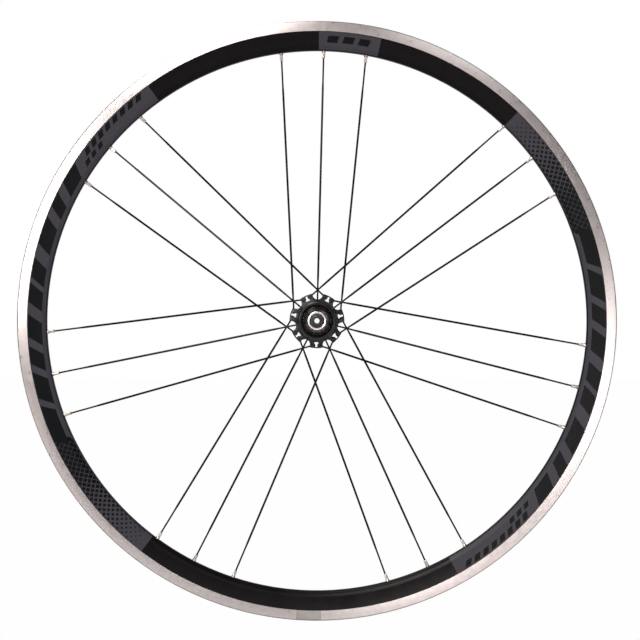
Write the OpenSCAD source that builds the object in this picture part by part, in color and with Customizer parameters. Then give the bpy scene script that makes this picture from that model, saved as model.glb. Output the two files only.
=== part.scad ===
// Rear wheel of a road bicycle: rim-brake rim, 21 straight-pull bladed spokes and a cassette hub.
// It turns about the Y axis. The origin is on that axis, midway between the two locknut faces.
// The left (non-drive) side faces -Y, the freehub faces +Y, and +Z is up.
// Angles round the wheel are clock angles: 0 is up, and they grow towards +X.

/* [Rim] */
// Outside diameter of the rim
rim_d = 634; // [420:1:780]
// Radial depth of the rim section
rim_depth = 30.5; // [24:0.5:50]
// Width of the rim across its two brake tracks
rim_w = 22; // [18:0.5:28]
// Radial height of each brake track
track_h = 10.7; // [9:0.1:13]
// Wall thickness behind the brake tracks
track_wall = 1.8; // [1.4:0.1:2.2]
// How far the brake tracks stand proud of the sidewalls
track_step = 0.25; // [0.1:0.05:0.4]
// Height of the tyre hooks above the bead seats
hook_h = 6; // [5:0.1:7]
// How far each hook's lip reaches in over the tyre bead
hook_lip = 0.8; // [0.4:0.1:1.2]
// Thickness of the bed under the tyre
tyre_bed_t = 1.5; // [1.2:0.1:2]
// Thickness of the bed that the nipples pull on
spoke_bed_t = 2.6; // [2:0.1:3.4]
// Thickness of the sidewalls below the tracks
side_wall = 1.3; // [1:0.1:1.8]
// Width of the flat face that the spokes enter
nose_w = 8.4; // [8:0.1:10]
// Radial height of the bevels beside that face
nose_h = 4.5; // [3:0.1:6]
// Diameter of the valve hole
valve_d = 6.5; // [6:0.1:8.5]
// Diameter of the tool holes in the tyre bed, one over each nipple
tool_hole_d = 8; // [7:0.1:8.8]
// Length of the sleeve that joins the rim's two ends
sleeve_l = 62; // [40:1:80]

/* [Spokes] */
// Clock angle of the first left spoke
first_spoke = 1.45; // [0:0.05:51.4]
// Distance between a drive-side spoke's line and the axle's centre line
drive_offset = 24.2; // [22:0.1:30]
// Angle between a drive-side spoke and the left spoke of its own triplet
drive_splay = 4.2; // [3:0.1:5.5]
// Diameter of a spoke's round ends
spoke_d = 1.8; // [1.6:0.1:2]
// Diameter of a spoke's rolled thread
thread_d = 2; // [1.8:0.1:2.3]
// Width of the flattened blade
blade_w = 2.2; // [1.8:0.1:2.8]
// Thickness of the flattened blade
blade_t = 0.95; // [0.8:0.05:1.4]
// Diameter of a spoke's head
head_d = 3.4; // [2.8:0.1:3.8]
// Thickness of a spoke's head
head_t = 1.6; // [1.2:0.1:1.8]
// Round length between a left spoke's head and its blade
left_neck = 23; // [10:1:40]
// Round length between a drive-side spoke's head and its blade
drive_neck = 15; // [10:1:40]
// Round length between a blade's end and the nipple's seat
tail_l = 36; // [20:1:60]
// Width of a nipple across its flats
nipple_w = 3.3; // [3:0.1:3.6]
// Length of a nipple below its seat
nipple_l = 10; // [8:0.1:12]
// Diameter of a nipple's collar
collar_d = 4; // [3.6:0.1:4.4]
// Diameter of a nipple's head
nipple_head_d = 5.8; // [5.2:0.1:6.2]
// Thickness of a nipple's head
nipple_head_t = 2.2; // [1.6:0.1:3]

/* [Hub] */
// Width over the locknuts
locknut_w = 130; // [120:0.5:156]
// Diameter of the axle
axle_d = 10; // [9:0.1:10.5]
// Diameter of the hole through the axle for the skewer
skewer_hole_d = 5.5; // [5.1:0.1:6]
// Length of the axle outside each locknut
axle_stub = 5.5; // [4:0.1:6.5]
// Diameter of the turned ends that drop into the frame
stub_d = 9.9; // [8.5:0.1:10]
// Width of the relief groove behind each axle end
relief_w = 1; // [0.8:0.1:1.5]
// Depth of that groove below the axle end
relief_depth = 0.45; // [0.3:0.05:0.7]
// Outer face of the left flange, measured from the wheel's centre
left_flange_y = 39; // [35:0.1:42]
// Width of the left flange
left_flange_w = 8; // [6.6:0.1:10]
// Diameter of the left flange
left_flange_d = 39.8; // [38:0.1:46]
// Width of the groove that holds the left spoke heads
head_groove_w = 1.8; // [1.7:0.1:2.2]
// Distance from the shell's right end back to the middle of the star flange
star_inset = 7.5; // [5:0.1:9]
// Thickness of the star flange
star_t = 7; // [6.4:0.1:8]
// Metal between the middle of a lobe's spoke holes and the lobe's outer edge
lobe_rim = 4.1; // [3.2:0.1:6]
// Radius of each scallop between two lobes
scallop_r = 5.3; // [4:0.1:5.8]
// How far each scallop's centre lies outside the middle of the lobes' spoke holes
scallop_out = 2.9; // [2:0.1:4]
// Spacing across the hub between leading and trailing drive-side spokes
spoke_gap_y = 2.6; // [2.4:0.1:3]
// Width of the wide end of a lobe's window
window_w = 4.4; // [3.6:0.1:5]
// Width of the narrow end of a lobe's window
window_slot_w = 2.5; // [1.6:0.1:3]
// Outside diameter of the hub tube's waist
waist_d = 24.4; // [22:0.1:28]

/* [Bearings] */
// Outside diameter of the two hub bearings
hub_bearing_d = 26; // [25.6:0.1:26.2]
// Width of the two hub bearings
hub_bearing_w = 8; // [7.6:0.1:8.4]
// Ball diameter of the two hub bearings
hub_ball_d = 4.76; // [4:0.01:5]
// Outside diameter of the two freehub bearings
free_bearing_d = 22; // [21:0.1:22.6]
// Width of the two freehub bearings
free_bearing_w = 6; // [5.6:0.1:6.4]
// Ball diameter of the two freehub bearings
free_ball_d = 3.18; // [2.8:0.01:3.4]
// Running gap round each ball
ball_gap = 0.08; // [0.05:0.01:0.12]

/* [Freehub] */
// Diameter over the freehub's splines
spline_d = 34.5; // [34:0.1:35]
// Diameter between the splines
spline_root_d = 32; // [31.6:0.1:32.6]
// Length of the splines
spline_l = 33; // [28:0.1:35]
// Diameter of the threaded hole for the cassette's lockring
lockring_hole_d = 29.4; // [28.8:0.1:30]
// Depth of that hole
lockring_hole_l = 4.2; // [3:0.1:5]
// Radius at the tips of the ratchet ring's teeth
tooth_tip_r = 14.2; // [14:0.1:16]
// Height of the ratchet teeth
tooth_h = 1; // [0.8:0.05:1.1]
// Wall of the ratchet ring outside its teeth
ratchet_wall = 1.8; // [1.4:0.1:2.4]
// Width of a pawl
pawl_w = 7; // [5:0.1:9]
// Diameter of a pawl's round heel
heel_d = 3; // [2.6:0.1:3]
// Radial gap between a pawl's heel and its socket
heel_gap = 0.06; // [0.02:0.01:0.1]

/* [Left end] */
// Wall of the sleeve on the left end of the axle
sleeve_t = 1.7; // [1.2:0.1:1.9]
// Outside diameter of the bright lock ring
lock_ring_d = 19; // [17:0.1:22]
// Width of the bright lock ring
lock_ring_w = 7; // [4:0.1:9]
// Width of the step turned inside the lock ring's outer face
ring_step_w = 0.9; // [0.4:0.1:1.6]
// How far the dust cap's edge reaches past the bearing that it covers
cap_cover = 1; // [0.5:0.1:1.1]

/* [Hidden] */

$fn = 96;
e = 0.01;

// Spokes come in triplets: one left spoke between a leading and a trailing drive-side spoke.
triplets = 7;
pitch = 360 / triplets;
LEFT = 0;
LEADING = 1;
TRAILING = -1;

// Rim, as radii from the axle and distances from the wheel's middle plane
rim_r = rim_d / 2;
nose_r = rim_r - rim_depth;
track_r = rim_r - track_h;
seat_r = rim_r - hook_h;
half_w = rim_w / 2;
track_in = half_w - track_wall;
nose_half = nose_w / 2;
bevel_half = nose_half + 0.6 * nose_h;
lip_bevel = 0.5;
hook_t = 1.6;
well_half = 4.4;
well_drop = 3;
well_slope = 1.1;
well_r = seat_r - well_drop;
sleeve_wall = 1.6;
sleeve_fit = 0.05;
valve_clock = first_spoke + pitch / 2;
joint_clock = first_spoke + 3.5 * pitch;

// Spokes: where each kind's head seats, in the plane of its own line
seat_sink = 0.5;
nipple_seat_r = nose_r + spoke_bed_t - seat_sink;
hole_gap = 0.15;
groove_depth = left_flange_w - 2;
left_head_y = -left_flange_y + groove_depth / 2 + 0.9;
groove_in_r = hub_bearing_d / 2 + 1.2;
groove_out_r = groove_in_r + head_groove_w;
left_head_r = groove_out_r + 0.3;
lobe_from_foot = 90 + drive_splay - 1.5 * pitch;
lobe_cross = drive_offset * tan(lobe_from_foot);
drive_head_z = lobe_cross + window_w / 2 + 0.6;
lobe_r = drive_offset / cos(lobe_from_foot);
star_r = lobe_r + lobe_rim;
scallop_at = lobe_r + scallop_out;
thread_l = nipple_l + nipple_head_t - 1;

// Right side, along the axle from the locknut face inwards
half_old = locknut_w / 2;
free_end_y = half_old - 4.5;
spline_y = free_end_y - spline_l;
free_flange_w = 1.5;
free_flange_y = spline_y - free_flange_w;
shell_end_y = free_flange_y - 0.5;
star_y = shell_end_y - star_inset;
seal_w = 1.8;
seal_y = shell_end_y - 1.3 - seal_w;
ratchet_w = pawl_w + 2.8;
ratchet_y = seal_y - 0.6 - ratchet_w;
right_bearing_y = ratchet_y - 3 - hub_bearing_w;

// Hub shell
hub_bearing_r = hub_bearing_d / 2;
left_bearing_y = -left_flange_y + 1;
shoulder_w = 2;
shoulder_r = hub_bearing_r - 1.4;
tube_bore_r = min(9, shoulder_r - 1, waist_d / 2 - 2);
tooth_root_r = tooth_tip_r + tooth_h;
ratchet_r = tooth_root_r + ratchet_wall;
drum_r = ratchet_r + 2.8;
seal_land_r = tooth_root_r + 0.4;

// Freehub
nose_body_r = tooth_tip_r - 0.6;
nose_start_y = ratchet_y + 0.6;
free_flange_r = spline_d / 2 + 1.2;
free_bearing_r = free_bearing_d / 2;
free_bearing_y1 = seal_y + 1.6;
free_bearing_y2 = free_end_y - lockring_hole_l - free_bearing_w - 1.3;
splines = 9;
spline_angle = 20;
key_angle = 12;
teeth = 36;
tooth_pitch = 360 / teeth;
pawl_y = ratchet_y + 1.5;
heel_clock = 24;
heel_at = tooth_tip_r - 1.8;
heel_x = heel_at * sin(heel_clock);
heel_z = heel_at * cos(heel_clock);
spring_y = pawl_y + pawl_w / 2;
spring_w = 1;
spring_in_r = tooth_tip_r - 1.8;
spring_out_r = spring_in_r + 0.9;

// Parts on the axle
axle_r = axle_d / 2;
axle_chamfer = 0.4;
locknut_y = free_end_y - 1.6;
spacer_r = axle_r + 1.8;
sleeve_r = axle_r + sleeve_t;
dust_cap_r = hub_bearing_r + cap_cover;
hub_balls_n = 7;
free_balls_n = 9;

// ---------- placing ----------

// Draws about the wheel's axis: the child's own Z runs along +Y.
module on_axle(y = 0) translate([0, y, 0]) rotate([-90, 0, 0]) children();

// Turns what is drawn at 12 o'clock to another clock angle.
module at_clock(angle) rotate([0, angle, 0]) children();

// Extrudes a flat outline, drawn as [x, z], from one Y to another.
module across(y0, y1) translate([0, y1, 0]) rotate([90, 0, 0]) linear_extrude(y1 - y0) children();

// A plain ring on the axle.
module ring(y0, y1, r_in, r_out) on_axle(y0) difference() {
    cylinder(h = y1 - y0, r = r_out);
    translate([0, 0, -1]) cylinder(h = y1 - y0 + 2, r = r_in);
}

// A turned part: its outline is a list of [radius, y].
module turned(outline) on_axle() rotate_extrude() polygon(outline);

function mirrored(half) = concat(
    [for (p = half) p],
    [for (i = [len(half) - 1 : -1 : 0]) [half[i][0], -half[i][1]]]);

// ---------- spoke lines ----------

function head_y(kind) = kind == LEFT ? left_head_y : star_y + kind * spoke_gap_y / 2;
function head_z(kind) = kind == LEFT ? left_head_r : drive_head_z;
function side_offset(kind) = kind * drive_offset;
function reach(kind, r) = sqrt(r * r - pow(side_offset(kind), 2));
function run(kind) = reach(kind, nipple_seat_r) - head_z(kind);
function lean(kind) = atan2(-head_y(kind), run(kind));
function seat_to_seat(kind) = norm([head_y(kind), run(kind)]);

// Puts its child on one spoke's line: Z runs out along the spoke, and 0 is the seat of its head.
module on_spoke(triplet, kind) {
    at_clock(first_spoke + triplet * pitch + kind * drive_splay)
        translate([side_offset(kind), head_y(kind), head_z(kind)])
            rotate([-lean(kind), 0, 0])
                children();
}

// ---------- rim ----------

rim_half = [
    [nose_r, nose_half],
    [nose_r + nose_h, bevel_half],
    [track_r, half_w - track_step],
    [track_r, half_w],
    [rim_r - lip_bevel, half_w],
    [rim_r, half_w - lip_bevel]];

well_half_outline = [
    [rim_r + 1, track_in - hook_lip],
    [rim_r - hook_t, track_in - hook_lip],
    [rim_r - hook_t - hook_lip, track_in],
    [seat_r, track_in],
    [seat_r, well_half + well_slope],
    [well_r, well_half]];

function chamber_half(gap) = [
    [nose_r + spoke_bed_t + gap, nose_half - 0.7 - gap],
    [nose_r + nose_h + 0.8 + gap, bevel_half - side_wall - gap],
    [track_r - 0.6 - gap, half_w - track_step - side_wall - 0.2 - gap],
    [seat_r - tyre_bed_t - gap, track_in - gap],
    [seat_r - tyre_bed_t - gap, well_half + well_slope + gap],
    [well_r - tyre_bed_t - gap, well_half + gap]];

module rim() color("dimgray") difference() {
    turned(mirrored(rim_half));
    turned(mirrored(well_half_outline));
    turned(mirrored(chamber_half(0)));
    for (triplet = [0 : triplets - 1], kind = [LEFT, LEADING, TRAILING])
        on_spoke(triplet, kind) translate([0, 0, seat_to_seat(kind)]) {
            translate([0, 0, -spoke_bed_t - 4]) cylinder(h = spoke_bed_t + 5, d = collar_d + 2 * hole_gap);
            cylinder(h = spoke_bed_t, d = nipple_head_d + 0.8);
            translate([0, 0, rim_depth - spoke_bed_t - hook_h - well_drop - 3])
                cylinder(h = 12, d = tool_hole_d);
        }
    at_clock(valve_clock) translate([0, 0, nose_r - 5]) cylinder(h = rim_depth + 2, d = valve_d);
}

module rim_joint_sleeve() color("silver") {
    turn = sleeve_l / rim_r * 180 / PI;
    at_clock(joint_clock - 90 - turn / 2) on_axle() difference() {
        rotate_extrude(angle = turn) polygon(mirrored(chamber_half(sleeve_fit)));
        rotate([0, 0, -1]) rotate_extrude(angle = turn + 2)
            polygon(mirrored(chamber_half(sleeve_wall)));
    }
}

// ---------- spokes and nipples ----------

// One straight-pull spoke: head, round neck, flat blade, round tail and rolled thread.
module spoke(length, neck) {
    edge = blade_t / 4;
    blade = [[blade_w / 2, edge], [blade_w / 2 - edge, blade_t / 2], [edge - blade_w / 2, blade_t / 2],
        [-blade_w / 2, edge], [-blade_w / 2, -edge], [edge - blade_w / 2, -blade_t / 2],
        [blade_w / 2 - edge, -blade_t / 2], [blade_w / 2, -edge]];
    overlap = 1;
    translate([0, 0, -head_t]) cylinder(h = head_t, d = head_d);
    translate([0, 0, -e]) cylinder(h = neck + overlap, d = spoke_d);
    translate([0, 0, neck]) linear_extrude(length - tail_l - neck) polygon(blade);
    translate([0, 0, length - tail_l - overlap]) cylinder(h = tail_l - nipple_l + 2 * overlap, d = spoke_d);
    translate([0, 0, length - nipple_l]) cylinder(h = thread_l, d = thread_d);
}

module spokes(kind, neck) color("#1c1c1e") for (triplet = [0 : triplets - 1])
    on_spoke(triplet, kind) spoke(seat_to_seat(kind), neck);

module left_spokes() spokes(LEFT, left_neck);
module drive_spokes_leading() spokes(LEADING, drive_neck);
module drive_spokes_trailing() spokes(TRAILING, drive_neck);

// One nipple, with 0 at the underside of its head: flats for the key, a collar and a head.
module nipple() {
    collar_l = spoke_bed_t + 1.2;
    difference() {
        union() {
            translate([-nipple_w / 2, -nipple_w / 2, -nipple_l])
                cube([nipple_w, nipple_w, nipple_l - collar_l + 0.5]);
            translate([0, 0, -collar_l]) cylinder(h = collar_l + e, d = collar_d);
            cylinder(h = nipple_head_t, d = nipple_head_d);
        }
        translate([0, 0, -nipple_l - 1]) cylinder(h = nipple_l + nipple_head_t + 2, d = thread_d);
    }
}

module nipples(kinds) color("gainsboro") for (triplet = [0 : triplets - 1], kind = kinds)
    on_spoke(triplet, kind) translate([0, 0, seat_to_seat(kind)]) nipple();

module left_nipples() nipples([LEFT]);
module drive_nipples() nipples([LEADING, TRAILING]);

// ---------- hub shell ----------

module star_flange() difference() {
    on_axle(star_y - star_t / 2) cylinder(h = star_t, r = star_r);
    for (lobe = [0 : triplets - 1])
        at_clock(first_spoke + lobe * pitch) translate([0, star_y - star_t, scallop_at])
            rotate([-90, 0, 0]) cylinder(h = 2 * star_t, r = scallop_r);
}

// The keyhole through one lobe that the two spoke heads drop into, at 12 o'clock.
module lobe_window() {
    low = lobe_r - 2.3;
    high = star_r - 1.3;
    across(star_y - star_t, star_y + star_t) polygon([
        [-window_w / 2, low], [window_w / 2, low], [window_w / 2, lobe_r + 0.4],
        [window_slot_w / 2, lobe_r + 1.2], [window_slot_w / 2, high],
        [-window_slot_w / 2, high], [-window_slot_w / 2, lobe_r + 1.2],
        [-window_w / 2, lobe_r + 0.4]]);
}

module shell_body() {
    flange_r = left_flange_d / 2;
    flange_in_y = -left_flange_y + left_flange_w;
    chamfer = 1;
    lip = 0.8;
    turned([
        [hub_bearing_r, -left_flange_y],
        [groove_in_r, -left_flange_y],
        [groove_in_r, -left_flange_y + groove_depth],
        [groove_out_r, -left_flange_y + groove_depth],
        [groove_out_r, -left_flange_y + lip],
        [groove_out_r + lip, -left_flange_y],
        [flange_r - chamfer, -left_flange_y],
        [flange_r, -left_flange_y + chamfer],
        [flange_r, flange_in_y],
        [hub_bearing_r + 2.6, flange_in_y + 1.2],
        [hub_bearing_r + 1.8, left_bearing_y + hub_bearing_w + shoulder_w],
        [waist_d / 2, left_bearing_y + hub_bearing_w + shoulder_w + 4],
        [waist_d / 2, right_bearing_y - shoulder_w - 4],
        [hub_bearing_r + 2, right_bearing_y - shoulder_w],
        [hub_bearing_r + 2.4, right_bearing_y + 4],
        [drum_r, right_bearing_y + hub_bearing_w + 1.5],
        [drum_r, shell_end_y - 0.6],
        [drum_r - 0.6, shell_end_y],
        [ratchet_r, shell_end_y],
        [ratchet_r, ratchet_y],
        [hub_bearing_r, ratchet_y],
        [hub_bearing_r, right_bearing_y],
        [shoulder_r, right_bearing_y],
        [shoulder_r, right_bearing_y - shoulder_w],
        [tube_bore_r, right_bearing_y - shoulder_w - 1],
        [tube_bore_r, left_bearing_y + hub_bearing_w + shoulder_w + 1],
        [shoulder_r, left_bearing_y + hub_bearing_w + shoulder_w],
        [shoulder_r, left_bearing_y + hub_bearing_w],
        [hub_bearing_r, left_bearing_y + hub_bearing_w]]);
}

module hub_shell() color("#2a2a2d") difference() {
    union() {
        shell_body();
        difference() {
            star_flange();
            on_axle(star_y - star_t) cylinder(h = 2 * star_t, r = drum_r - 1);
        }
    }
    for (triplet = [0 : triplets - 1]) {
        at_clock(first_spoke + (triplet + 0.5) * pitch) lobe_window();
        for (kind = [LEFT, LEADING, TRAILING]) on_spoke(triplet, kind) {
            translate([0, 0, -head_t - 0.1]) cylinder(h = head_t + 0.1, d = head_d + 0.3);
            translate([0, 0, -e]) cylinder(h = 9, d = spoke_d + 0.3);
        }
    }
}

// ---------- freehub and ratchet ----------

module ratchet_ring() color("silver") difference() {
    on_axle(ratchet_y) cylinder(h = ratchet_w, r = ratchet_r);
    across(ratchet_y - 1, ratchet_y + ratchet_w + 1) polygon([
        for (tooth = [0 : teeth - 1], side = [0, 1])
            let (angle = (tooth + side) * tooth_pitch, r = side == 0 ? tooth_root_r : tooth_tip_r)
                [r * sin(angle), r * cos(angle)]]);
}

module freehub_seal() color("#303030")
    ring(seal_y, seal_y + seal_w, seal_land_r + 0.1, ratchet_r);

// The bars grow out of the flange and stop a little short of the body's open end.
module spline_bars() intersection() {
    on_axle(spline_y - 0.5) cylinder(h = spline_l, d = spline_d);
    for (bar = [0 : splines - 1])
        at_clock(bar * 360 / splines) {
            half = bar == 0 ? key_angle / 2 : spline_angle / 2;
            across(spline_y - 1, free_end_y) polygon([[0, spline_root_d / 4],
                [-spline_d * tan(half), spline_d], [spline_d * tan(half), spline_d]]);
        }
}

// The pocket of one pawl at 12 o'clock: its heel's socket and the room that it folds into.
module pawl_pocket() {
    gap_y = 0.1;
    translate([heel_x, pawl_y - gap_y, heel_z]) rotate([-90, 0, 0])
        cylinder(h = pawl_w + 2 * gap_y, r = heel_d / 2 + heel_gap);
    across(pawl_y - gap_y, pawl_y + pawl_w + gap_y) polygon([[-1, ratchet_r],
        [-1, heel_at - 0.9], [1.2, heel_at - 1.7], [4, heel_at - 2.5], [heel_x, heel_z],
        [heel_x + 2.1, heel_z + 2.8], [6, ratchet_r]]);
}

module freehub_body() color("#3a3a3d") difference() {
    union() {
        turned([
            [spacer_r + 0.6, nose_start_y],
            [nose_body_r, nose_start_y],
            [nose_body_r, seal_y],
            [seal_land_r, seal_y],
            [seal_land_r, free_flange_y],
            [free_flange_r, free_flange_y],
            [free_flange_r, spline_y],
            [spline_root_d / 2, spline_y],
            [spline_root_d / 2, free_end_y],
            [lockring_hole_d / 2, free_end_y],
            [lockring_hole_d / 2, free_end_y - lockring_hole_l],
            [free_bearing_r, free_end_y - lockring_hole_l],
            [free_bearing_r, free_bearing_y1],
            [spacer_r + 0.6, free_bearing_y1]]);
        difference() {
            spline_bars();
            on_axle(spline_y - 1) cylinder(h = spline_l + 2, d = spline_root_d - 1);
        }
    }
    for (pawl = [0 : 2]) at_clock(pawl * 120) pawl_pocket();
    ring(spring_y - spring_w / 2 - 0.2, spring_y + spring_w / 2 + 0.2, spring_in_r - 0.2, nose_body_r + 1);
}

// One pawl at 12 o'clock, its tip in a tooth: it swings about the centre of its round heel.
// The tip's front face is an arc about the heel, so the tip leaves its tooth without touching it.
tip_swing_r = norm([heel_x, heel_z - tooth_tip_r]) - 0.05;
function tip_x(z) = heel_x - sqrt(pow(tip_swing_r, 2) - pow(z - heel_z, 2));

module pawl() difference() {
    top_z = tooth_root_r - 0.3;
    mid_z = (top_z + tooth_tip_r) / 2;
    union() {
        translate([heel_x, pawl_y, heel_z]) rotate([-90, 0, 0]) cylinder(h = pawl_w, d = heel_d);
        across(pawl_y, pawl_y + pawl_w) polygon([[tip_x(top_z), top_z],
            [1.2, tooth_tip_r + 0.1], [heel_x + 0.84, heel_z + 1.1], [heel_x - 0.76, heel_z - 1.15],
            [2.4, heel_at - 0.7], [0.12, heel_at + 0.8], [tip_x(tooth_tip_r), tooth_tip_r],
            [tip_x(mid_z), mid_z]]);
    }
    ring(spring_y - spring_w / 2 - 0.25, spring_y + spring_w / 2 + 0.25, spring_in_r - 0.5, ratchet_r);
}

module pawl_1() color("lightgray") pawl();
module pawl_2() color("lightgray") at_clock(120) pawl();
module pawl_3() color("lightgray") at_clock(240) pawl();

module pawl_spring() color("silver") at_clock(60) on_axle(spring_y - spring_w / 2)
    rotate_extrude(angle = 345)
        translate([spring_in_r, 0]) square([spring_out_r - spring_in_r, spring_w]);

// ---------- axle and what is fixed to it ----------

module axle() color("#202022") {
    end = half_old + axle_stub;
    stub_r = min(stub_d / 2, axle_r - 0.05);
    relief_r = stub_r - relief_depth;
    turned(mirrored([[skewer_hole_d / 2, end], [stub_r - axle_chamfer, end],
        [stub_r, end - axle_chamfer], [stub_r, half_old], [relief_r, half_old],
        [relief_r, half_old - relief_w], [axle_r, half_old - relief_w]]));
}

module left_axle_sleeve() color("#2c2c2e") {
    chamfer = 0.6;
    turned([[axle_r, -half_old], [sleeve_r - chamfer, -half_old],
        [sleeve_r, -half_old + chamfer], [sleeve_r, left_bearing_y], [axle_r, left_bearing_y]]);
}

module left_lock_ring() color("#e8dcd2") {
    step_r = sleeve_r + ring_step_w;
    step_depth = 1.5;
    chamfer = 0.5;
    ring_y = -half_old + lock_ring_w;
    turned([[step_r, -half_old], [lock_ring_d / 2 - chamfer, -half_old],
        [lock_ring_d / 2, -half_old + chamfer], [lock_ring_d / 2, ring_y], [sleeve_r, ring_y],
        [sleeve_r, -half_old + step_depth], [step_r, -half_old + step_depth]]);
}

module left_dust_cap() color("#252527") {
    front_y = -half_old + lock_ring_w;
    back_y = -left_flange_y - 0.5;
    turned([[sleeve_r, front_y], [lock_ring_d / 2 + 0.1, front_y],
        [lock_ring_d / 2 + 0.4, front_y + 3], [dust_cap_r, back_y - 2.5], [dust_cap_r, back_y],
        [hub_bearing_r - 1, back_y], [hub_bearing_r - 2, back_y - 2], [sleeve_r, back_y - 2]]);
}

module hub_spacer() color("silver")
    ring(left_bearing_y + hub_bearing_w, right_bearing_y, axle_r, spacer_r);

module freehub_inner_spacer() color("silver")
    ring(right_bearing_y + hub_bearing_w, free_bearing_y1, axle_r, spacer_r);

module freehub_outer_spacer() color("silver")
    ring(free_bearing_y1 + free_bearing_w, free_bearing_y2, axle_r, spacer_r);

module right_dust_cap() color("#252527") {
    back_y = free_bearing_y2 + free_bearing_w;
    cap_r = free_bearing_r - 0.5;
    cap_y = back_y + 0.4;
    cap_t = 1.6;
    turned([[axle_r, back_y], [spacer_r, back_y], [spacer_r, cap_y], [cap_r, cap_y],
        [cap_r, cap_y + cap_t], [spacer_r, cap_y + cap_t], [spacer_r, locknut_y],
        [axle_r, locknut_y]]);
}

module right_locknut() color("silver") {
    across_flats = 17;
    washer_t = 2;
    difference() {
        union() {
            on_axle(locknut_y)
                cylinder(h = half_old - locknut_y - washer_t / 2, d = across_flats / cos(30), $fn = 6);
            on_axle(half_old - washer_t) cylinder(h = washer_t, d = lock_ring_d);
        }
        on_axle(locknut_y - 1) cylinder(h = half_old, r = axle_r);
    }
}

// ---------- cartridge bearings: bore on the axle, outer face in its seat ----------

function pitch_r(outside_r) = (axle_r + outside_r) / 2;
function shoulder_depth(ball_d) = 0.357 * ball_d;

module ball_track(y, outside_r, width, ball_d) on_axle(y + width / 2) rotate_extrude()
    translate([pitch_r(outside_r), 0]) circle(d = ball_d + 2 * ball_gap);

module inner_race(y, outside_r, width, ball_d) color("lightgray") difference() {
    ring(y, y + width, axle_r, pitch_r(outside_r) - shoulder_depth(ball_d));
    ball_track(y, outside_r, width, ball_d);
}

module outer_race(y, outside_r, width, ball_d) color("lightgray") difference() {
    ring(y, y + width, pitch_r(outside_r) + shoulder_depth(ball_d), outside_r);
    ball_track(y, outside_r, width, ball_d);
}

module balls(y, outside_r, width, ball_d, count) color("silver") for (ball = [0 : count - 1])
    at_clock(ball * 360 / count) translate([0, y + width / 2, pitch_r(outside_r)]) sphere(d = ball_d);

module cage(y, outside_r, width, ball_d, count) color("peru") {
    at_r = pitch_r(outside_r);
    half_t = 0.13 * ball_d;
    half_width = ball_d / 2 + 0.65;
    difference() {
        ring(y + width / 2 - half_width, y + width / 2 + half_width, at_r - half_t, at_r + half_t);
        for (ball = [0 : count - 1]) at_clock(ball * 360 / count)
            translate([0, y + width / 2, at_r]) sphere(d = ball_d + ball_gap);
    }
}

module seals(y, outside_r, width, ball_d) color("#202020") {
    thickness = 0.5;
    lip_gap = 0.1;
    at_r = pitch_r(outside_r);
    depth = shoulder_depth(ball_d);
    for (side_y = [y, y + width - thickness])
        ring(side_y, side_y + thickness, at_r - depth + lip_gap, at_r + depth);
}

module hub_inner_race(y) inner_race(y, hub_bearing_r, hub_bearing_w, hub_ball_d);
module hub_outer_race(y) outer_race(y, hub_bearing_r, hub_bearing_w, hub_ball_d);
module hub_balls(y) balls(y, hub_bearing_r, hub_bearing_w, hub_ball_d, hub_balls_n);
module hub_cage(y) cage(y, hub_bearing_r, hub_bearing_w, hub_ball_d, hub_balls_n);
module hub_seals(y) seals(y, hub_bearing_r, hub_bearing_w, hub_ball_d);

module free_inner_race(y) inner_race(y, free_bearing_r, free_bearing_w, free_ball_d);
module free_outer_race(y) outer_race(y, free_bearing_r, free_bearing_w, free_ball_d);
module free_balls(y) balls(y, free_bearing_r, free_bearing_w, free_ball_d, free_balls_n);
module free_cage(y) cage(y, free_bearing_r, free_bearing_w, free_ball_d, free_balls_n);
module free_seals(y) seals(y, free_bearing_r, free_bearing_w, free_ball_d);

rim();
rim_joint_sleeve();
left_spokes();
drive_spokes_leading();
drive_spokes_trailing();
left_nipples();
drive_nipples();
hub_shell();
ratchet_ring();
freehub_seal();
freehub_body();
pawl_1();
pawl_2();
pawl_3();
pawl_spring();
axle();
left_axle_sleeve();
left_lock_ring();
left_dust_cap();
hub_spacer();
freehub_inner_spacer();
freehub_outer_spacer();
right_dust_cap();
right_locknut();
hub_inner_race(left_bearing_y);  // hub_left_inner_race
hub_outer_race(left_bearing_y);  // hub_left_outer_race
hub_balls(left_bearing_y);  // hub_left_balls
hub_cage(left_bearing_y);  // hub_left_cage
hub_seals(left_bearing_y);  // hub_left_seals
hub_inner_race(right_bearing_y);  // hub_right_inner_race
hub_outer_race(right_bearing_y);  // hub_right_outer_race
hub_balls(right_bearing_y);  // hub_right_balls
hub_cage(right_bearing_y);  // hub_right_cage
hub_seals(right_bearing_y);  // hub_right_seals
free_inner_race(free_bearing_y1);  // free_inner_race_1
free_outer_race(free_bearing_y1);  // free_outer_race_1
free_balls(free_bearing_y1);  // free_balls_1
free_cage(free_bearing_y1);  // free_cage_1
free_seals(free_bearing_y1);  // free_seals_1
free_inner_race(free_bearing_y2);  // free_inner_race_2
free_outer_race(free_bearing_y2);  // free_outer_race_2
free_balls(free_bearing_y2);  // free_balls_2
free_cage(free_bearing_y2);  // free_cage_2
free_seals(free_bearing_y2);  // free_seals_2
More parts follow.
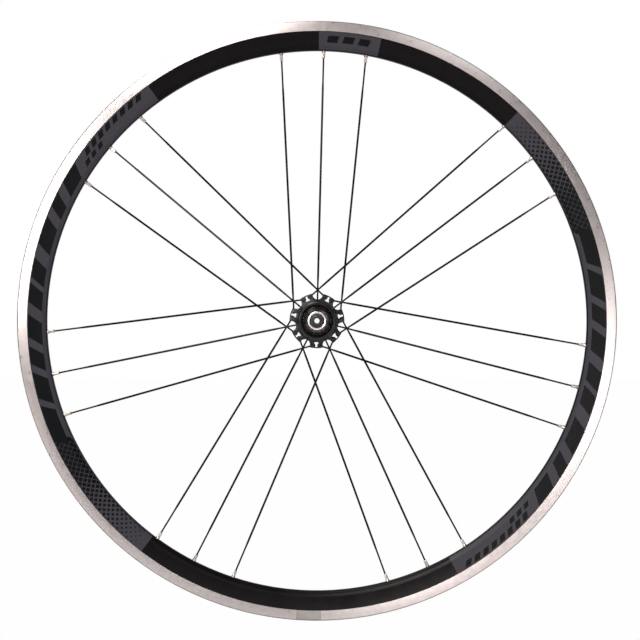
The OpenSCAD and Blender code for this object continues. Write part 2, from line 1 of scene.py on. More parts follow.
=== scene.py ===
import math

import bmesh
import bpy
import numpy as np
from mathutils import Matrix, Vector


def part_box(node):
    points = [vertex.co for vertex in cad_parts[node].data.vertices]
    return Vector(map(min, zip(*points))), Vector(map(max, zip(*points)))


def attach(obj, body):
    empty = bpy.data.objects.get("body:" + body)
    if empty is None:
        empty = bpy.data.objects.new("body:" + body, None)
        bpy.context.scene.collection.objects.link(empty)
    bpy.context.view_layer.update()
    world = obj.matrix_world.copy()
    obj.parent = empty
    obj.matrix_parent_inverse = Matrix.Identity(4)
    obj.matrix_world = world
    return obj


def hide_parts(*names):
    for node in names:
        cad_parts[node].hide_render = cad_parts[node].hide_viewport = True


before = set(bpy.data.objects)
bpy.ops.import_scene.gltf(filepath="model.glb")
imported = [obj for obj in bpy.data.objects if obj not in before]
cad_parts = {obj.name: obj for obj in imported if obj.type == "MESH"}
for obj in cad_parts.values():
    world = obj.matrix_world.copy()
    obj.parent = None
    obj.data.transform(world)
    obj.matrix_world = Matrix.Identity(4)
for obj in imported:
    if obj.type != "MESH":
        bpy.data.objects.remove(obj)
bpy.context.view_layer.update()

# Rear wheel of a road bicycle, for rim brakes: alloy rim, 21 straight-pull bladed spokes, cassette hub.
# The wheel turns about Y. Its left side faces -Y, the freehub faces +Y and +Z is up.
# A clock angle is in degrees from 12 o'clock, growing towards +X. Lengths are in millimetres until
# mesh_piece() and star_flange() turn them to metres.

MM = 0.001


def node_span(node, axis):
    """Lowest and highest coordinate of a CAD node along one axis, in millimetres."""
    low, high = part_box(node)
    return low[axis] / MM, high[axis] / MM


# ---------- sizes, from the frame where the frame gives them ----------

RIM_R = node_span("rim", 2)[1]
HALF_W = node_span("rim", 1)[1]
NOSE_R = RIM_R - 30.5          # flat face that the spokes enter
NOSE_HALF = 4.2                # half that face's width
NOSE_H = 4.5                   # height of the bevel beside it
BEVEL_HALF = NOSE_HALF + 0.6 * NOSE_H
BED_T = 2.6                    # thickness of the spoke bed
TRACK_R = RIM_R - 10.7         # inner edge of the brake track
TRACK_STEP = 0.25              # how far the track stands out from the sidewall
HOOK_WALL = 1.8                # thickness of the wall that carries the track and the tyre hook
SEAT_R = RIM_R - 6             # bead seats
WELL_R = SEAT_R - 3            # floor of the tyre well
SEAT_HALF, WELL_HALF = 5.5, 4.4
TYRE_BED_T = 1.5
SPOKE_HOLE_R = 2.15
TOOL_HOLE_R = 4
VALVE_R = 3.25

TRIPLETS = 7
PITCH = 360 / TRIPLETS
FIRST_SPOKE = 1.45             # clock angle of the first left spoke
SPLAY = 4.2                    # clock angle from a left spoke to the drive spokes beside it
DRIVE_OFFSET = 24.2            # how far a drive spoke's line passes from the axle
LEFT, LEADING, TRAILING = 0, 1, -1
NIPPLE_SEAT_R = NOSE_R + BED_T - 0.5

LEFT_FLANGE_Y = node_span("hub_shell", 1)[0]
SHELL_END_Y = node_span("hub_shell", 1)[1]
STAR_R = node_span("hub_shell", 0)[1]
STAR_Y = SHELL_END_Y - 7.5     # middle of the star flange
STAR_T = 7
STAR_BORE_R = 18
LOBE_R = STAR_R - 4.1          # middle of the windows in its lobes
WINDOW_HALF, SLOT_HALF = 2.2, 1.25
BEARING_R = 13
GROOVE_R = (BEARING_R + 1.2, BEARING_R + 3)    # groove that holds the left spokes' heads
AXLE_R, SLEEVE_R = 5, 6.7
HEAD_Y = {LEFT: LEFT_FLANGE_Y + 3.9, LEADING: STAR_Y + 1.3, TRAILING: STAR_Y - 1.3}
HEAD_Z = {LEFT: GROOVE_R[1] + 0.3, LEADING: 10.23, TRAILING: 10.23}
NECK = {LEFT: 23, LEADING: 15, TRAILING: 15}   # length of the round neck under each kind's head
TAIL_L = 36                    # length of the round tail that goes into the nipple
WIRE_R = 0.9
BLADE_HALF_W, BLADE_HALF_T = 1.1, 0.475
VALVE_CLOCK = FIRST_SPOKE + PITCH / 2
JOINT_CLOCK = FIRST_SPOKE + 3.5 * PITCH
JOINT_HALF = 2.6               # half the width of the patch ground flush at the joint, in degrees


# ---------- mesh helpers ----------

def outward(verts, faces):
    """Turns a closed mesh the right way round: its volume, summed over fans of its faces, is positive."""
    p = verts[faces]
    fans = sum(np.einsum("ij,ij->i", p[:, 0], np.cross(p[:, k], p[:, k + 1])).sum()
               for k in range(1, faces.shape[1] - 1))
    return faces if fans > 0 else faces[:, ::-1]


def grid_faces(rows, cols, close_rows=False, close_cols=False, first=0):
    """Quads of a rows by cols grid of points, joined up at the ends where asked."""
    r = np.arange(rows if close_rows else rows - 1)[:, None]
    c = np.arange(cols if close_cols else cols - 1)[None, :]
    up, across = (r + 1) % rows, (c + 1) % cols
    quads = np.stack([r * cols + c, r * cols + across, up * cols + across, up * cols + c], -1)
    return quads.reshape(-1, 4) + first


def mesh_piece(name, parts, materials, sharp=35):
    """Makes one object from parts, each (verts in mm, faces, index of its material or one per face).

    Faces are an array of quads or n-gons, or a list of such arrays over the same points. Edges
    sharper than the angle stay crisp.
    """
    verts, loops, counts, slots, base = [], [], [], [], 0
    for points, faces, index in parts:
        verts.append(points * MM)
        for alike in faces if isinstance(faces, list) else [faces]:
            loops.append((alike + base).ravel())
            counts.append(np.full(len(alike), alike.shape[1]))
            slots.append(np.broadcast_to(index, len(alike)))
        base += len(points)
    verts, loops = np.concatenate(verts), np.concatenate(loops)
    counts, slots = np.concatenate(counts), np.concatenate(slots)
    data = bpy.data.meshes.new(name)
    data.vertices.add(len(verts))
    data.vertices.foreach_set("co", verts.ravel().astype(np.float32))
    data.loops.add(len(loops))
    data.loops.foreach_set("vertex_index", loops.astype(np.int32))
    data.polygons.add(len(counts))
    data.polygons.foreach_set("loop_start", (np.cumsum(counts) - counts).astype(np.int32))
    for material in materials:
        data.materials.append(material)
    data.polygons.foreach_set("material_index", slots.astype(np.int32))
    data.update(calc_edges=True)
    data.validate()
    smooth(data, sharp)
    made = bpy.data.objects.new(name, data)
    bpy.context.scene.collection.objects.link(made)
    return made


def smooth(data, sharp):
    """Smooth shading, but for edges sharper than the angle in degrees."""
    data.polygons.foreach_set("use_smooth", np.ones(len(data.polygons), bool))
    data.set_sharp_from_angle(angle=math.radians(sharp))


def rounded(outline, radius, steps=4):
    """Rounds each corner of a closed outline with the parabola that leaves one side and joins the next.

    Its ends lie radius from the corner, or less where a side is short.
    """
    p = np.asarray(outline, float)
    radius = np.broadcast_to(np.asarray(radius, float), len(p))
    back, ahead = np.roll(p, 1, 0) - p, np.roll(p, -1, 0) - p
    near = np.linalg.norm(back, axis=1), np.linalg.norm(ahead, axis=1)
    cut = np.minimum(radius, 0.45 * np.minimum(*near))[:, None]
    a, b = p + back / near[0][:, None] * cut, p + ahead / near[1][:, None] * cut
    t = np.linspace(0, 1, steps)[None, :, None]
    arcs = (1 - t) ** 2 * a[:, None] + 2 * t * (1 - t) * p[:, None] + t ** 2 * b[:, None]
    return arcs.reshape(-1, p.shape[1])


def round_axle(radius, y, turn):
    """Points round the axle: x = radius sin(turn), z = radius cos(turn), with turn in radians."""
    return np.stack(np.broadcast_arrays(radius * np.sin(turn), y, radius * np.cos(turn)), -1)


def turned(points, clock):
    """Points turned about the axle by a clock angle."""
    a = math.radians(clock)
    x, y, z = points[..., 0], points[..., 1], points[..., 2]
    return np.stack([x * math.cos(a) + z * math.sin(a), y, z * math.cos(a) - x * math.sin(a)], -1)


def lathe(outline, segments=96):
    """A closed outline of (radius, y) carried right round the axle."""
    turn = np.linspace(0, 2 * np.pi, segments, endpoint=False)[:, None]
    verts = round_axle(outline[None, :, 0], outline[None, :, 1], turn).reshape(-1, 3)
    return verts, outward(verts, grid_faces(segments, len(outline), True, True)), 0


def closed_tube(rings):
    """A tube through rings of points (ring, point, xyz), its two ends closed by a flat face."""
    count, around = rings.shape[:2]
    verts = rings.reshape(-1, 3)
    wall = grid_faces(count, around, False, True)
    ends = np.stack([np.arange(around)[::-1], np.arange(around) + (count - 1) * around])
    p = verts[wall] - verts.mean(0)
    if np.einsum("ij,ij->i", p[:, 0], np.cross(p[:, 1], p[:, 2])).sum() < 0:
        wall, ends = wall[:, ::-1], ends[:, ::-1]
    return verts, [wall, ends], 0


def slab(under, over):
    """Closes two grids of points into a slab: top, bottom and the walls round their edges."""
    rows, cols = under.shape[:2]
    top = grid_faces(rows, cols, first=rows * cols)
    bottom = grid_faces(rows, cols)[:, ::-1]
    index = np.arange(rows * cols).reshape(rows, cols)
    edge = np.concatenate([index[0, :-1], index[:-1, -1], index[-1, :0:-1], index[:0:-1, 0]])
    after = np.roll(edge, -1)
    walls = np.stack([edge, after, after + rows * cols, edge + rows * cols], -1)
    verts = np.concatenate([under.reshape(-1, 3), over.reshape(-1, 3)])
    return verts, outward(verts, np.concatenate([top, bottom, walls]))


def flat_oval(across, through, fullness, around=16):
    """Rings of a superellipse: x = across |cos|^fullness, y = through |sin|^fullness.

    Each entry makes one ring. A fullness of 1 is an ellipse, and one near 0 is a rectangle.
    """
    turn = np.linspace(0, 2 * np.pi, around, endpoint=False)[None, :]
    power = np.asarray(fullness, float)[:, None]
    x = np.asarray(across)[:, None] * np.sign(np.cos(turn)) * np.abs(np.cos(turn)) ** power
    y = np.asarray(through)[:, None] * np.sign(np.sin(turn)) * np.abs(np.sin(turn)) ** power
    return x, y


def smooth_step(x, start, end):
    """0 before start, 1 after end, and 3t^2 - 2t^3 between them."""
    t = np.clip((x - start) / (end - start), 0, 1)
    return t * t * (3 - 2 * t)


def spoke_run(kind):
    """How far a spoke of this kind runs outwards, from the height of its head's seat."""
    return math.sqrt(NIPPLE_SEAT_R ** 2 - (kind * DRIVE_OFFSET) ** 2) - HEAD_Z[kind]


def spoke_length(kind):
    """From the head's seat to the nipple's seat."""
    return math.hypot(HEAD_Y[kind], spoke_run(kind))


def on_spokes(local, kind):
    """Copies rings of local points to the seven spoke lines of one kind.

    Local z runs out along the spoke from its head's seat, local x is tangential. The line leans by
    atan(head's y over its run), then turns by its clock angle about the axle.
    """
    lean = math.atan2(-HEAD_Y[kind], spoke_run(kind))
    x = local[..., 0] + kind * DRIVE_OFFSET
    y = local[..., 1] * math.cos(lean) + local[..., 2] * math.sin(lean) + HEAD_Y[kind]
    z = local[..., 2] * math.cos(lean) - local[..., 1] * math.sin(lean) + HEAD_Z[kind]
    upright = np.stack([x, y, z], -1)
    return [turned(upright, FIRST_SPOKE + k * PITCH + kind * SPLAY) for k in range(TRIPLETS)]


def take_over(piece, body, *nodes, slot=None):
    """The piece rides on a body and stands for these CAD nodes."""
    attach(piece, body)
    if nodes:
        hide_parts(*nodes)
    return piece


# ---------- materials ----------

SOFT = {"Detail": 3.0, "Roughness": 0.55}      # how a noise breaks up into smaller blobs
STAIN_MM, CLOUD_MM, SWAY_MM = 6, 18, 40        # sizes of stains, of cloudy tints and of wandering lines
SWAY = 4.0                                     # how far the lines' phase wanders, in radians
RADIAL_SHINE = 0.25                            # a quarter turn from the lines' direction


def colour(code):
    """An sRGB hex code as linear RGBA."""
    parts = [int(code[i:i + 2], 16) / 255 for i in (1, 3, 5)]
    return [c / 12.92 if c <= 0.04045 else ((c + 0.055) / 1.055) ** 2.4 for c in parts] + [1.0]


def add(tree, kind, inputs=None, **settings):
    """Adds a shader node with its settings; an input that is a socket is linked, any other is set."""
    made = tree.nodes.new("ShaderNode" + kind)
    for name, value in settings.items():
        setattr(made, name, value)
    for name, value in (inputs or {}).items():
        if isinstance(value, bpy.types.NodeSocket):
            tree.links.new(value, made.inputs[name])
        else:
            made.inputs[name].default_value = value
    return made


def new_material(name, **shader):
    """An empty material with a Principled BSDF whose sockets are set, and its tree and shader."""
    made = bpy.data.materials.new(name)
    made.use_nodes = True
    tree = made.node_tree
    tree.nodes.clear()
    bsdf = add(tree, "BsdfPrincipled", {k.replace("_", " "): v for k, v in shader.items()})
    add(tree, "OutputMaterial", {"Surface": bsdf.outputs[0]})
    return made, tree, bsdf


def dress(tree, bsdf, cloud, low, high, roughness, height, depth_mm):
    """Gives the shader a colour and roughness that follow the cloud, and a bump depth_mm high."""
    tint = add(tree, "Mix", {0: cloud, 6: colour(low), 7: colour(high)}, data_type="RGBA")
    gloss = add(tree, "MapRange", {0: cloud, 1: 0.3, 2: 0.7, 3: roughness[0], 4: roughness[1]})
    relief = add(tree, "Bump", {"Height": height, "Distance": depth_mm * MM, "Strength": 1.0})
    tree.links.new(tint.outputs[2], bsdf.inputs["Base Color"])
    tree.links.new(gloss.outputs[0], bsdf.inputs["Roughness"])
    tree.links.new(relief.outputs[0], bsdf.inputs["Normal"])


def turned_metal(name, low, high, roughness, spacing_mm, depth_mm, anisotropy=0.5, metallic=1.0):
    """A metal finished on the lathe: tool lines, a highlight stretched across them, small stains.

    The lines are a sine of radius + y, so they circle the axle on faces and on walls alike.
    """
    made, tree, bsdf = new_material(name, Metallic=metallic, Anisotropic=anisotropy,
                                    Anisotropic_Rotation=RADIAL_SHINE)
    point = add(tree, "TexCoord").outputs["Object"]
    x, y, z = add(tree, "SeparateXYZ", {0: point}).outputs
    off_axle = add(tree, "CombineXYZ", {0: x, 2: z}).outputs[0]
    radius = add(tree, "VectorMath", {0: off_axle}, operation="LENGTH").outputs["Value"]
    stain = add(tree, "TexNoise", {"Vector": point, "Scale": 1 / (STAIN_MM * MM), **SOFT}).outputs[0]
    sway = add(tree, "TexNoise", {"Vector": point, "Scale": 1 / (SWAY_MM * MM), **SOFT,
                                  "Detail": 0.0}).outputs[0]
    wander = add(tree, "MapRange", {0: sway, 1: 0.0, 2: 1.0, 3: 0.0, 4: SWAY}).outputs[0]
    along = add(tree, "Math", {0: radius, 1: y}, operation="ADD").outputs[0]
    phase = add(tree, "Math", {0: along, 1: 2 * math.pi / (spacing_mm * MM), 2: wander},
                operation="MULTIPLY_ADD").outputs[0]
    lines = add(tree, "Math", {0: phase}, operation="SINE").outputs[0]
    dress(tree, bsdf, stain, low, high, roughness, lines, depth_mm)
    tangent = add(tree, "Tangent", direction_type="RADIAL", axis="Y")
    tree.links.new(tangent.outputs[0], bsdf.inputs["Tangent"])
    return made


def coated(name, low, high, roughness, grain_mm, depth_mm, metallic=0.0, specular=0.5):
    """A dyed, painted, moulded or plated skin: a soft cloudiness over a fine grain."""
    made, tree, bsdf = new_material(name, Metallic=metallic, Specular_IOR_Level=specular)
    point = add(tree, "TexCoord").outputs["Object"]
    cloud = add(tree, "TexNoise", {"Vector": point, "Scale": 1 / (CLOUD_MM * MM), **SOFT}).outputs[0]
    grain = add(tree, "TexNoise", {"Vector": point, "Scale": 1 / (grain_mm * MM), **SOFT}).outputs[0]
    dress(tree, bsdf, cloud, low, high, roughness, grain, depth_mm)
    return made


# A lathe leaves its lines 0.05 to 0.2 mm apart, too fine to show, so every turned metal draws them
# as far apart as its spacing says.

# Machined 6061 brake track: concentric cuts of the facing tool, so its highlight stretches radially.
TRACK = turned_metal("machined_aluminium_track", "#b8aeac", "#cfc6c4", (0.27, 0.31), 2.4, 0.001, 0.95)
# The same track where the rim's joint was ground flush, and its outer edge: greyer and duller.
GROUND_JOINT = turned_metal("ground_rim_joint", "#8f8a87", "#a39e9b", (0.34, 0.4), 2.4, 0.001, 0.85)
# Black anodised extrusion: dyed oxide over matt aluminium, satin, with a soft cloudiness.
SIDEWALL = coated("black_anodised_extrusion", "#060405", "#0a0809", (0.24, 0.3), 1.6, 0.002, 0.0, 0.06)
# Water-transfer print, charcoal grey under satin lacquer: flatter and lighter than the anodising.
GREY_PRINT = coated("charcoal_transfer_print", "#29282d", "#312f35", (0.34, 0.42), 1.6, 0.002, 0.0, 0.1)
# The same lacquer over blue-black ink.
DARK_PRINT = coated("blue_black_transfer_print", "#040507", "#070809", (0.3, 0.38), 1.6, 0.002,
                    0.0, 0.06)
# Drawn stainless spoke with black electro-coat: smooth satin film, a little uneven.
SPOKE_BLACK = coated("black_coated_stainless", "#040405", "#08080a", (0.18, 0.26), 0.8, 0.0005, 0.0, 0.12)
# Nickel-plated brass: a warm white metal, bright, with faint tumbling marks.
NICKEL = coated("nickel_plated_brass", "#8d847e", "#a59c96", (0.26, 0.34), 1.0, 0.003, 1.0)
# Turned and black anodised 7075 hub: lathe lines under a satin dye.
HUB_BLACK = turned_metal("black_anodised_turned_alloy", "#0b0a0c", "#131214", (0.2, 0.26), 1.6, 0.0006,
                         0.6, 0.3)
# Star flange, faced on the lathe before its lobes are milled: the same dye, duller, over wider lines.
STAR_BLACK = turned_metal("black_anodised_milled_alloy", "#0c0b0d", "#141315", (0.26, 0.34), 1.8, 0.0006,
                          0.8, 0.3)
# Bright turned aluminium of the lock ring; the warm pink tint of its colours is a painted reflection of the
# warm lamps.
BRIGHT_RING = turned_metal("bright_aluminium_painted_warm_reflection", "#e6d6cd", "#f2e6de", (0.22, 0.3), 1.2, 0.001, 0.5)
# Hard anodised axle: grey-black, duller than the dyed shell.
AXLE_BLACK = turned_metal("hard_anodised_axle", "#1a1a1c", "#28282b", (0.32, 0.42), 1.2, 0.001, 0.4, 0.5)
# Sleeve end: the same alloy with its anodising faced off to a dull grey.
SLEEVE_GREY = turned_metal("grey_anodised_sleeve", "#2b2b2e", "#3b3b3f", (0.32, 0.42), 1.2, 0.001,
                           0.4, 0.6)
# Hard anodised freehub: charcoal, with a fine grain.
FREEHUB_GREY = coated("hard_anodised_freehub", "#2b2b2e", "#38383c", (0.34, 0.46), 0.4, 0.01, 0.6)
# Plain turned aluminium of the spacers and the joint sleeve.
PLAIN_ALLOY = turned_metal("plain_turned_aluminium", "#b9babd", "#cfd0d2", (0.26, 0.36), 0.4, 0.008, 0.4)
# Zinc-plated steel locknut: a bluish bright plating over the forging's grain.
ZINC = coated("zinc_plated_steel", "#aeb2b6", "#c8ccd0", (0.24, 0.36), 0.7, 0.01, 1.0)
# Ground bearing steel: races, balls, ratchet and pawls.
BEARING_STEEL = turned_metal("ground_bearing_steel", "#9c9da0", "#b6b7ba", (0.12, 0.2), 0.3, 0.003, 0.3)
# Nitrile rubber lips of the seals: matt, with a moulded grain.
RUBBER = coated("moulded_nitrile_rubber", "#121212", "#1b1b1b", (0.6, 0.75), 0.35, 0.02)
# Glass-filled nylon cages: a warm cream, slightly waxy.
NYLON = coated("moulded_nylon_cage", "#b89868", "#c7a878", (0.45, 0.55), 0.5, 0.01)


# ---------- rim ----------

def rim():
    """The rim's section, with its tyre hooks and its chamber, turned round the axle and then drilled.

    The section is one half, mirrored across the wheel's middle plane.
    """
    wall_in = HALF_W - HOOK_WALL
    hook_in = wall_in - 0.8
    side = np.array([
        [NOSE_R, NOSE_HALF], [NOSE_R + NOSE_H, BEVEL_HALF], [TRACK_R, HALF_W - TRACK_STEP],
        [TRACK_R, HALF_W], [RIM_R - 0.8, HALF_W], [RIM_R, HALF_W - 0.6],
        [RIM_R, hook_in], [RIM_R - 1.6, hook_in], [RIM_R - 2.4, wall_in],
        [SEAT_R, wall_in], [SEAT_R, SEAT_HALF], [WELL_R, WELL_HALF]])
    radius = np.array([1.0, 2.5, 0.12, 0.12, 0.25, 0.25, 0.5, 0.4, 0.4, 0.3, 0.6, 1.2])
    outline = np.concatenate([side, side[::-1] * [1, -1]])
    skin = rounded(outline, np.concatenate([radius, radius[::-1]]))
    cavity = np.array([
        [NOSE_R + BED_T, 3.5], [NOSE_R + 5.3, 5.6], [TRACK_R - 0.6, 9.25],
        [SEAT_R - TYRE_BED_T, 9.2], [SEAT_R - TYRE_BED_T, SEAT_HALF], [WELL_R - TYRE_BED_T, WELL_HALF]])
    cavity = np.concatenate([cavity, cavity[::-1] * [1, -1]])
    segments = TRIPLETS * 64
    verts, faces, _ = lathe(skin, segments)
    centre = verts[faces].mean(1)
    centre_r, centre_y = np.linalg.norm(centre[:, [0, 2]], axis=1), np.abs(centre[:, 1])
    centre_clock = np.degrees(np.arctan2(centre[:, 0], centre[:, 2]))
    off_joint = np.abs((centre_clock - JOINT_CLOCK + 180) % 360 - 180)
    edge_r = RIM_R - 0.45
    on_track = (centre_y > HALF_W - 0.02) & (centre_r > TRACK_R) & (centre_r < edge_r)
    on_edge = (centre_y > HALF_W - 1) & (centre_r >= edge_r)
    plain, track, ground = 0, 1, 2
    finish = np.where(on_track, np.where(off_joint < JOINT_HALF, ground, track),
                      np.where(on_edge, ground, plain))
    inner_verts, inner_faces, _ = lathe(rounded(cavity, 0.8, 3), segments)
    made = mesh_piece("rim", [(verts, faces, finish), (inner_verts, inner_faces[:, ::-1], plain)],
                      [SIDEWALL, TRACK, GROUND_JOINT], 30)
    return drilled(made, rim_holes())


def drill(radius, length, around=28):
    """Rings of a plain drill along z, from 0 to its length."""
    x, y = flat_oval([radius, radius], [radius, radius], [1, 1], around)
    return np.stack([x, y, np.broadcast_to([[0.0], [length]], x.shape)], -1)


def rim_holes():
    """Drills for the spoke holes, the tool holes over them and the valve hole."""
    drills = []
    for kind in (LEFT, LEADING, TRAILING):
        seat = spoke_length(kind)
        for radius, low, high in ((SPOKE_HOLE_R, -6, 4), (TOOL_HOLE_R, 11, 32)):
            drills += on_spokes(drill(radius, high - low) + [0, 0, seat + low], kind)
    drills.append(turned(drill(VALVE_R, 40) + [0, 0, NOSE_R - 5], VALVE_CLOCK))
    return mesh_piece("drills", [closed_tube(rings) for rings in drills], [SIDEWALL])


def drilled(piece, drills):
    """The piece with the drills' shapes taken out of it, as plain mesh."""
    cut = piece.modifiers.new("holes", "BOOLEAN")
    cut.operation, cut.object, cut.solver = "DIFFERENCE", drills, "EXACT"
    graph = bpy.context.evaluated_depsgraph_get()
    data = bpy.data.meshes.new_from_object(piece.evaluated_get(graph))
    piece.modifiers.clear()
    old, piece.data = piece.data, data
    bpy.data.meshes.remove(old)
    data.name = piece.name
    bpy.data.meshes.remove(drills.data)
    data.set_sharp_from_angle(angle=math.radians(30))
    return piece


# ---------- printed decals ----------

BEVEL_FOOT = (NOSE_R + 0.8, NOSE_HALF + 0.5)                 # (radius, |y|) where the grey ground starts
DECAL_FOOT = (NOSE_R + NOSE_H + 0.9, BEVEL_HALF + 0.22)      # where the sidewall above the bevel starts
DECAL_TOP = (TRACK_R - 0.35, HALF_W - TRACK_STEP - 0.09)     # outer edge of both
BEVEL_LOW, BEVEL_EDGE = -0.33, -0.06                         # heights of the bevel's foot and upper edge
BAND_H = math.hypot(DECAL_TOP[0] - DECAL_FOOT[0], DECAL_TOP[1] - DECAL_FOOT[1])
BAND_R = (DECAL_FOOT[0] + DECAL_TOP[0]) / 2
FILM_T = 0.03                                                # thickness of one printed layer
GROUND, INK = 1, 2                                           # layers up to each print's top
LABEL = (0.4, 12.9)                                          # first and last clock angle of the label
LABEL_BARS = (2.2, 5.4, 8.6)
GRAPHIC_STARTS = (43.9, 217.3)
# Bars of a long graphic: (start, width), in degrees from where the graphic starts.
BARS = ((36.2, 5.4), (43.2, 3.6), (48.6, 4.6), (55.6, 3.9), (60.6, 3.9), (67.4, 5.6), (75.2, 3.0),
        (80.4, 4.6))
# Rows of dashes: (how many, start of the first, lowest and highest height).
DASH_ROWS = ((8, 88.2, 0.5, 0.92), (3, 87.4, 0.05, 0.38))
DASH_W, DASH_STEP = 1.3, 2.1


def on_sidewall(clock, height, lift, side):
    """Points on a sidewall: clock in degrees, height from 0 at the foot to 1, lift off it in mm.

    A height under 0 goes on down the bevel, as a second straight line of the section.
    """
    tilt = math.atan2(DECAL_TOP[1] - DECAL_FOOT[1], DECAL_TOP[0] - DECAL_FOOT[0])
    steps = [BEVEL_LOW, BEVEL_EDGE, 0, 1]
    radius = np.interp(height, steps, [BEVEL_FOOT[0], NOSE_R + NOSE_H, DECAL_FOOT[0], DECAL_TOP[0]])
    y = np.interp(height, steps, [BEVEL_FOOT[1], BEVEL_HALF, DECAL_FOOT[1], DECAL_TOP[1]])
    radius, y = radius - lift * math.sin(tilt), y + lift * math.cos(tilt)
    return round_axle(radius, side * y, np.radians(clock))


def print_patch(start, end, low, high, layers, side, slant=0.0):
    """A thin printed sheet from one clock angle to another: a shell with a top, a bottom and four edges.

    slant is how many degrees its upper edge runs ahead of its lower one.
    """
    across = max(2, int(abs(end - start) / 0.8) + 1)
    heights = np.linspace(low, high, 4)
    if low < BEVEL_EDGE:
        heights = np.concatenate([[low, BEVEL_EDGE], np.linspace(0, high, 4)])
    u, v = np.linspace(0, 1, across)[None, :], heights[:, None]
    clock = start + (end - start) * u + slant * (v - 0.5)
    return slab(*(on_sidewall(clock, v, lift, side) for lift in (-FILM_T, FILM_T * layers)))


def diamonds(start, end, full_at, side):
    """Staggered rows of square prints on their corners, which grow until only thin lines part them.

    Each is folded along its level diagonal, and one row's diagonals lie on the bevel's upper edge.
    """
    step_mm, rows, line_mm, least = 6.7, 7, 0.3, 0.3
    step = math.degrees(step_mm / BAND_R)
    row, col = np.meshgrid(np.arange(rows), np.arange(int((end - start) / step)), indexing="ij")
    clock = start + (col + 0.5 * (row % 2) + 0.5) * step
    height = BEVEL_EDGE + (row - 1) * step_mm / 2 / BAND_H
    grown = np.clip((clock - start) / (full_at - start), 0, 1) ** 0.55
    half = np.maximum(grown, least).ravel() * (step_mm / 2 - line_mm)
    clock, height = clock.ravel(), height.ravel()
    turn = np.radians([0, 90, 180, 270])[None, :]
    aside = clock[:, None] + np.degrees(half[:, None] * np.cos(turn) / BAND_R)
    raised = height[:, None] + half[:, None] * np.sin(turn) / BAND_H
    raised = np.clip(raised, BEVEL_LOW + 0.02, 0.985)
    verts = np.concatenate([on_sidewall(aside, raised, lift, side) for lift in (0.0, 2.5 * FILM_T)], 1)
    verts = verts.reshape(-1, 3)
    one = np.array([[2, 1, 0], [3, 2, 0], [4, 5, 6], [4, 6, 7], [0, 1, 5], [0, 5, 4],
                    [1, 2, 6], [1, 6, 5], [2, 3, 7], [2, 7, 6], [3, 0, 4], [3, 4, 7]])
    faces = (one[None] + 8 * np.arange(len(half))[:, None, None]).reshape(-1, 3)
    return verts, outward(verts, faces)


def long_graphic(start, side):
    """One long graphic: a lattice that darkens, a row of slanted bars, then rows of short dashes."""
    grey = [print_patch(start, start + 107, BEVEL_LOW, 1.0, GROUND, side)]
    dark = [diamonds(start + 1.5, start + 27.5, start + 21, side),
            print_patch(start + 27, start + 34.8, 0.0, 0.985, INK, side, 1.6)]
    dark += [print_patch(start + at, start + at + width, -0.05, 0.97, INK, side, 1.9)
             for at, width in BARS]
    for count, first, low, high in DASH_ROWS:
        for at in start + first + DASH_STEP * np.arange(count):
            dark.append(print_patch(at, at + DASH_W, low, high, INK, side, 2.0))
    return grey, dark


def decals(name, side):
    """Everything printed on one sidewall: two long graphics and a short label panel with plain bars."""
    grey = [print_patch(*LABEL, BEVEL_LOW, 1.0, GROUND, side)]
    dark = [print_patch(at, at + 2.2, 0.2, 0.7, INK, side, 0.7) for at in LABEL_BARS]
    for start in GRAPHIC_STARTS:
        more_grey, more_dark = long_graphic(start, side)
        grey, dark = grey + more_grey, dark + more_dark
    parts = [(*shell, 0) for shell in grey] + [(*shell, 1) for shell in dark]
    return mesh_piece(name, parts, [GREY_PRINT, DARK_PRINT])


# ---------- spokes and nipples ----------

def spokes(name, kind):
    """Seven straight-pull spokes of one kind: domed head, round neck, flat oval blade, round tail."""
    length = spoke_length(kind)
    neck, tail = NECK[kind], length - TAIL_L
    head = np.array([-1.6, -1.6, -1.45, -1.1, -0.5, -0.1, 0.0, 0.25, 0.8])
    head_r = np.array([0.5, 1.2, 1.5, 1.68, 1.7, 1.6, 1.45, 1.1, WIRE_R])
    shaft = np.concatenate([np.linspace(3, neck - 4, 3), np.linspace(neck - 2, neck + 9, 12),
                            np.linspace(neck + 30, tail - 30, 5), np.linspace(tail - 9, tail + 2, 12),
                            [tail + 8, length - 12, length - 1]])
    z = np.concatenate([head, shaft])
    flat = smooth_step(z, neck - 1, neck + 8) - smooth_step(z, tail - 8, tail + 1)
    round_r = np.concatenate([head_r, np.full(len(shaft), WIRE_R)])
    x, y = flat_oval(round_r + flat * (BLADE_HALF_W - WIRE_R), round_r + flat * (BLADE_HALF_T - WIRE_R),
                     1 - 0.7 * flat)
    local = np.stack([x, y, np.broadcast_to(z[:, None], x.shape)], -1)
    return mesh_piece(name, [closed_tube(rings) for rings in on_spokes(local, kind)], [SPOKE_BLACK])


def nipples(name, kinds):
    """Nipples: a chamfered mouth, four key flats with round corners, a round collar and a domed head."""
    z = np.array([-10, -10, -9.6, -9.2, -4.6, -4.2, -3.9, -0.3, 0, 0.25, 1.2, 1.9, 2.2])
    across = np.array([1.05, 1.3, 1.6, 1.65, 1.65, 1.8, 2.0, 2.0, 2.3, 2.9, 2.8, 2.1, 1.1])
    square = np.array([1, 0.9, 0.5, 0.3, 0.3, 0.7, 1, 1, 1, 1, 1, 1, 1])
    x, y = flat_oval(across, across, square, 24)
    tubes = []
    for kind in kinds:
        local = np.stack([x, y, np.broadcast_to(z[:, None] + spoke_length(kind), x.shape)], -1)
        tubes += [closed_tube(rings) for rings in on_spokes(local, kind)]
    return mesh_piece(name, tubes, [NICKEL], 40)


